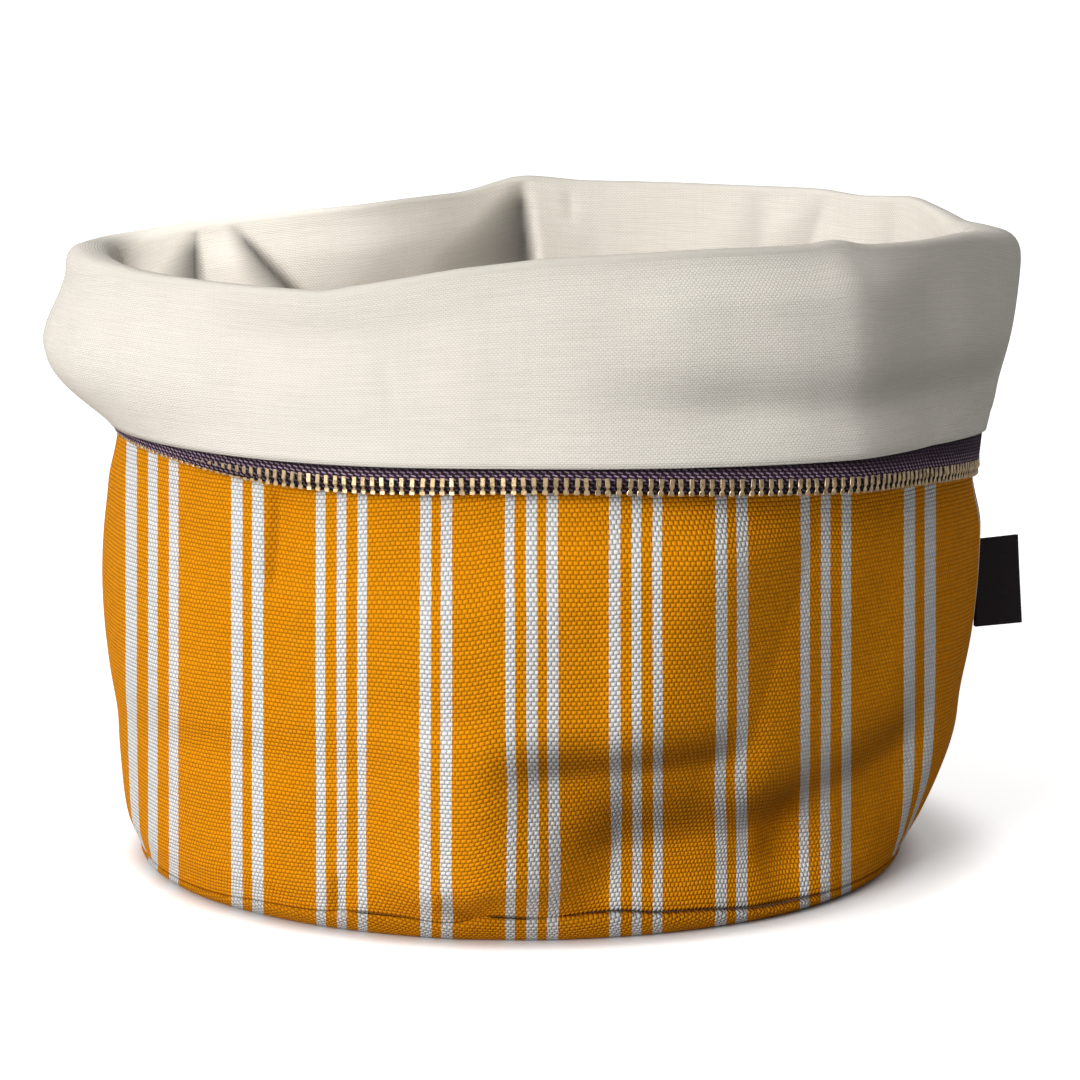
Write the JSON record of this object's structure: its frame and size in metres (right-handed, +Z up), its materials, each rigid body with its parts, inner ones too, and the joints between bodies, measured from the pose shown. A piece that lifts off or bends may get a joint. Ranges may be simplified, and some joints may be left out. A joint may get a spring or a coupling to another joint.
{
  "type": "round cloth bread bag",
  "caption": "Round cloth bread bag standing open, with a striped canvas wall, a cream lining turned down as a cuff, and an open metal zip along the cuff's lower edge.",
  "frame": {"origin": "middle of the base, on the surface that the bag stands on", "axes": "+Z up, -Y towards the front as pictured, +X towards the side seam with the label"},
  "size_m": [0.2516, 0.2383, 0.1657],
  "materials": {
    "striped_canvas": "matte coarse plain weave, orange with white stripes",
    "cotton_lining": "matte fine plain weave, undyed cream",
    "zip_tape": "matte twill, dark aubergine",
    "zip_metal": "polished, slightly aged",
    "label_ribbon": "satin, blackish brown, bare"
  },
  "bodies": {
    "root": {"canvas_front": "striped_canvas", "canvas_back": "striped_canvas", "canvas_base": "striped_canvas", "lining_front": "cotton_lining", "lining_back": "cotton_lining", "lining_base": "cotton_lining", "zip_tape_front": "zip_tape", "zip_tape_back": "zip_tape", "zip_teeth_front": "zip_metal", "zip_teeth_back": "zip_metal", "side_label": "label_ribbon"}
  },
  "joints": []
}
